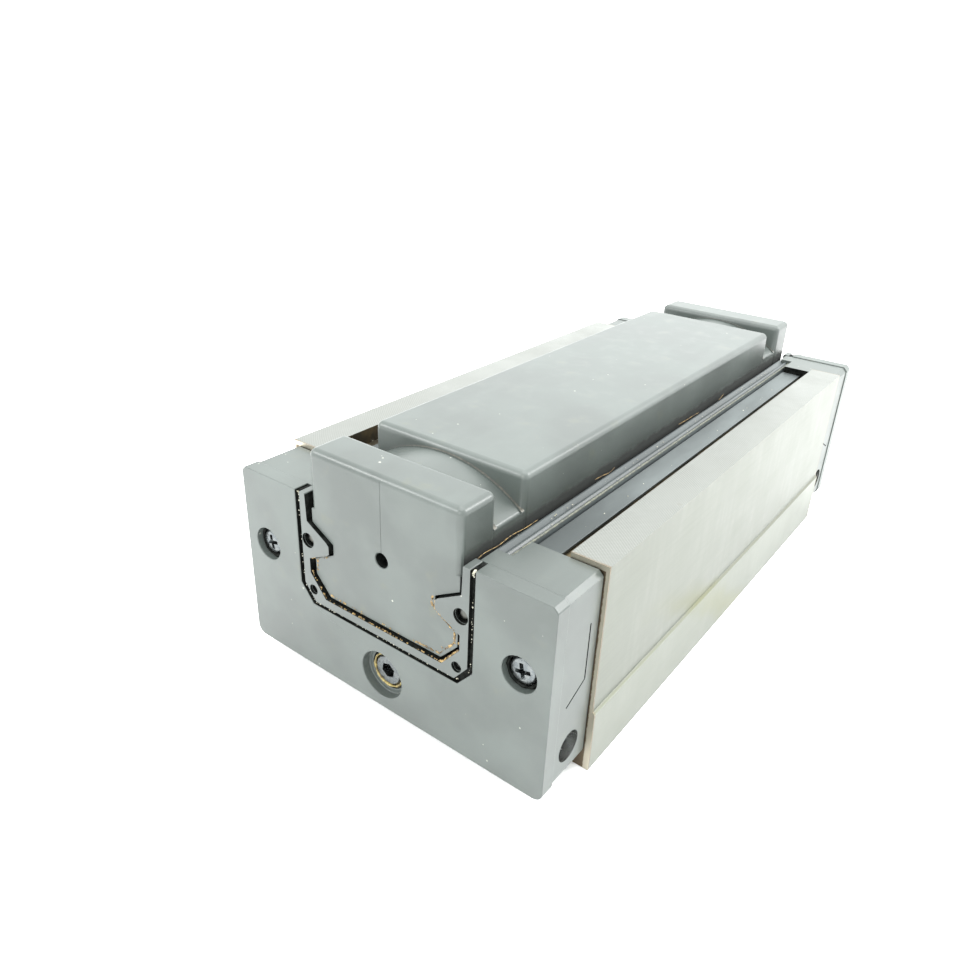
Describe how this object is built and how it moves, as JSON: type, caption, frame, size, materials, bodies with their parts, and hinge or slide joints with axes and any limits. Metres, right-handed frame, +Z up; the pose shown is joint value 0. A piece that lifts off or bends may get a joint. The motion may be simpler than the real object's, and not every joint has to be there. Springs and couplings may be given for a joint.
{
  "type": "linear guide carriage",
  "caption": "Long four-row ball linear guide carriage lying slot up, with end caps, end seals and a sliding temporary rail in its slot.",
  "frame": {"origin": "middle of the mounting face, which is the bottom of the box at rest", "axes": "+Z up out of the rail slot, away from the mounting face; +Y along the slot, the rail direction; +X across"},
  "size_m": [0.126, 0.253, 0.086],
  "materials": {
    "ground_steel": "ground and milled, lightly oiled",
    "strip_steel": "smooth blue-grey strip",
    "ball_steel": "polished",
    "plated_steel": "plated, with dirt in the recesses",
    "black_plastic": "satin moulded, oily",
    "rail_plastic": "satin moulded, scuffed",
    "guide_plastic": "natural moulded",
    "black_rubber": "matt",
    "thread_sealant": "dried paste"
  },
  "bodies": {
    "carriage": {"front_end_cap": "black_plastic", "front_end_plate": "black_plastic", "front_end_seal": "black_rubber", "front_grease_plug": "plated_steel", "front_left_cap_screw": "plated_steel", "front_left_lower_return_guide": "guide_plastic", "front_left_lower_seal_pin": "plated_steel", "front_left_side_port_plug": "plated_steel", "front_left_upper_return_guide": "guide_plastic", "front_left_upper_seal_pin": "plated_steel", "front_plug_sealant": "thread_sealant", "front_right_cap_screw": "plated_steel", "front_right_lower_return_guide": "guide_plastic", "front_right_lower_seal_pin": "plated_steel", "front_right_side_port_plug": "plated_steel", "front_right_upper_return_guide": "guide_plastic", "front_right_upper_seal_pin": "plated_steel", "left_ball_retainer": "guide_plastic", "left_lower_balls": "ball_steel", "left_under_seal": "black_rubber", "left_under_strip": "strip_steel", "left_upper_balls": "ball_steel", "rear_end_cap": "black_plastic", "rear_end_plate": "black_plastic", "rear_end_seal": "black_rubber", "rear_grease_plug": "plated_steel", "rear_left_cap_screw": "plated_steel", "rear_left_lower_return_guide": "guide_plastic", "rear_left_lower_seal_pin": "plated_steel", "rear_left_side_port_plug": "plated_steel", "rear_left_upper_return_guide": "guide_plastic", "rear_left_upper_seal_pin": "plated_steel", "rear_plug_sealant": "thread_sealant", "rear_right_cap_screw": "plated_steel", "rear_right_lower_return_guide": "guide_plastic", "rear_right_lower_seal_pin": "plated_steel", "rear_right_side_port_plug": "plated_steel", "rear_right_upper_return_guide": "guide_plastic", "rear_right_upper_seal_pin": "plated_steel", "right_ball_retainer": "guide_plastic", "right_lower_balls": "ball_steel", "right_under_seal": "black_rubber", "right_under_strip": "strip_steel", "right_upper_balls": "ball_steel", "slide_body": "ground_steel"},
    "temporary_rail": {"temporary_rail": "rail_plastic"}
  },
  "joints": [
    {"name": "temporary_rail_slide", "type": "slide", "parent": "carriage", "child": "temporary_rail", "axis": [0, 1, 0], "range_m": [-0.23, 0.23]}
  ]
}
